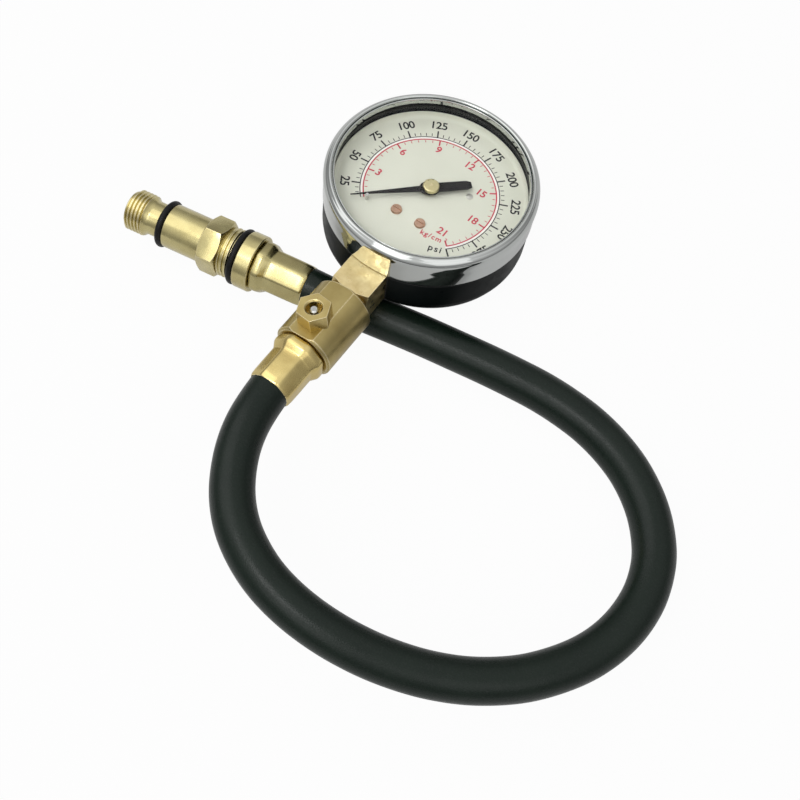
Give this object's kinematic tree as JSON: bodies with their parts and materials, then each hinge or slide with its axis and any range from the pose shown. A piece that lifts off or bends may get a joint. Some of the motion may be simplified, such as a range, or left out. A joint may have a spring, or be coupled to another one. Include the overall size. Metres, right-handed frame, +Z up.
{
  "type": "compression tester gauge",
  "caption": "Engine compression tester: dial gauge on a brass tee with a press-to-release valve, a short rubber hose and a screw-in spark plug end.",
  "frame": {"origin": "on the floor, under the middle of the box round the gauge, stem, tee and its ferrule, without the hose and plug end", "axes": "+Z up, stem points to -Y, dial faces up and leans to +Y"},
  "size_m": [0.2054, 0.168, 0.0384],
  "materials": {
    "black_paint": "satin",
    "chrome": "polished",
    "glass": "clear",
    "rubber": "matte",
    "dial": "matte",
    "copper_screws": "satin",
    "steel": "satin",
    "pointer_black": "matte",
    "brass": "satin",
    "hose_rubber": "satin"
  },
  "bodies": {
    "tester": {"gauge_case": "black_paint", "bezel": "chrome", "window": "glass", "window_gasket": "rubber", "dial_plate": "dial", "dial_screws": "copper_screws", "zero_stop_pin": "steel", "sector_arbor": "steel", "pressure_tube": "brass", "movement_back_plate": "brass", "movement_front_plate": "brass", "movement_pillars": "brass", "movement_screws": "steel", "case_screws": "steel", "gauge_socket": "brass", "tee_body": "brass", "relief_valve_body": "brass", "relief_valve_core": "brass", "relief_valve_spring": "steel", "ferrule_gauge_end": "brass", "hose": "hose_rubber", "ferrule_plug_end": "brass", "hose_end_fitting": "brass", "o_ring_large": "rubber", "plug_adapter": "brass", "o_ring_small": "rubber", "check_valve_core": "brass", "check_valve_spring": "steel"},
    "pointer_set": {"pointer": "pointer_black", "pointer_hub": "brass", "pinion_arbor": "steel", "hairspring": "brass"},
    "sector": {"sector_gear": "brass"},
    "tip_and_link": {"tube_tip": "brass", "link": "brass"},
    "relief_pin": {"relief_valve_pin": "steel"},
    "check_pin": {"check_valve_pin": "steel"}
  },
  "joints": [
    {"name": "pointer_turn", "type": "hinge", "parent": "tester", "child": "pointer_set", "pos_m": [0, 0.02457, 0.02311], "axis": [0, -0.165, -0.9863], "range_deg": [0, 267], "deforming": ["hairspring"]},
    {"name": "sector_swing", "type": "hinge", "parent": "tester", "child": "sector", "pos_m": [0, 0.00983, 0.01503], "axis": [0, 0.165, 0.9863], "range_deg": [0, 26.7]},
    {"name": "tube_tip_travel", "type": "slide", "parent": "tester", "child": "tip_and_link", "axis": [0.866, 0.4931, -0.0825], "range_m": [0, 0.00185], "stiffness_N_per_m": 10, "springref_m": -0.001, "deforming": ["pressure_tube"]},
    {"name": "relief_pin_press", "type": "slide", "parent": "tester", "child": "relief_pin", "axis": [0.1392, -0.1634, -0.9767], "range_m": [0, 0.0012], "stiffness_N_per_m": 900, "springref_m": -0.001, "deforming": ["relief_valve_spring"]},
    {"name": "check_pin_lift", "type": "slide", "parent": "tester", "child": "check_pin", "axis": [0.9887, 0.1501, 0], "range_m": [0, 0.001], "stiffness_N_per_m": 600, "springref_m": -0.001, "deforming": ["check_valve_spring"]}
  ],
  "couplings": [
    {"joint": "sector_swing", "follows": "tube_tip_travel", "rad_per_m": 252.3},
    {"joint": "pointer_turn", "follows": "tube_tip_travel", "rad_per_m": 2523}
  ]
}
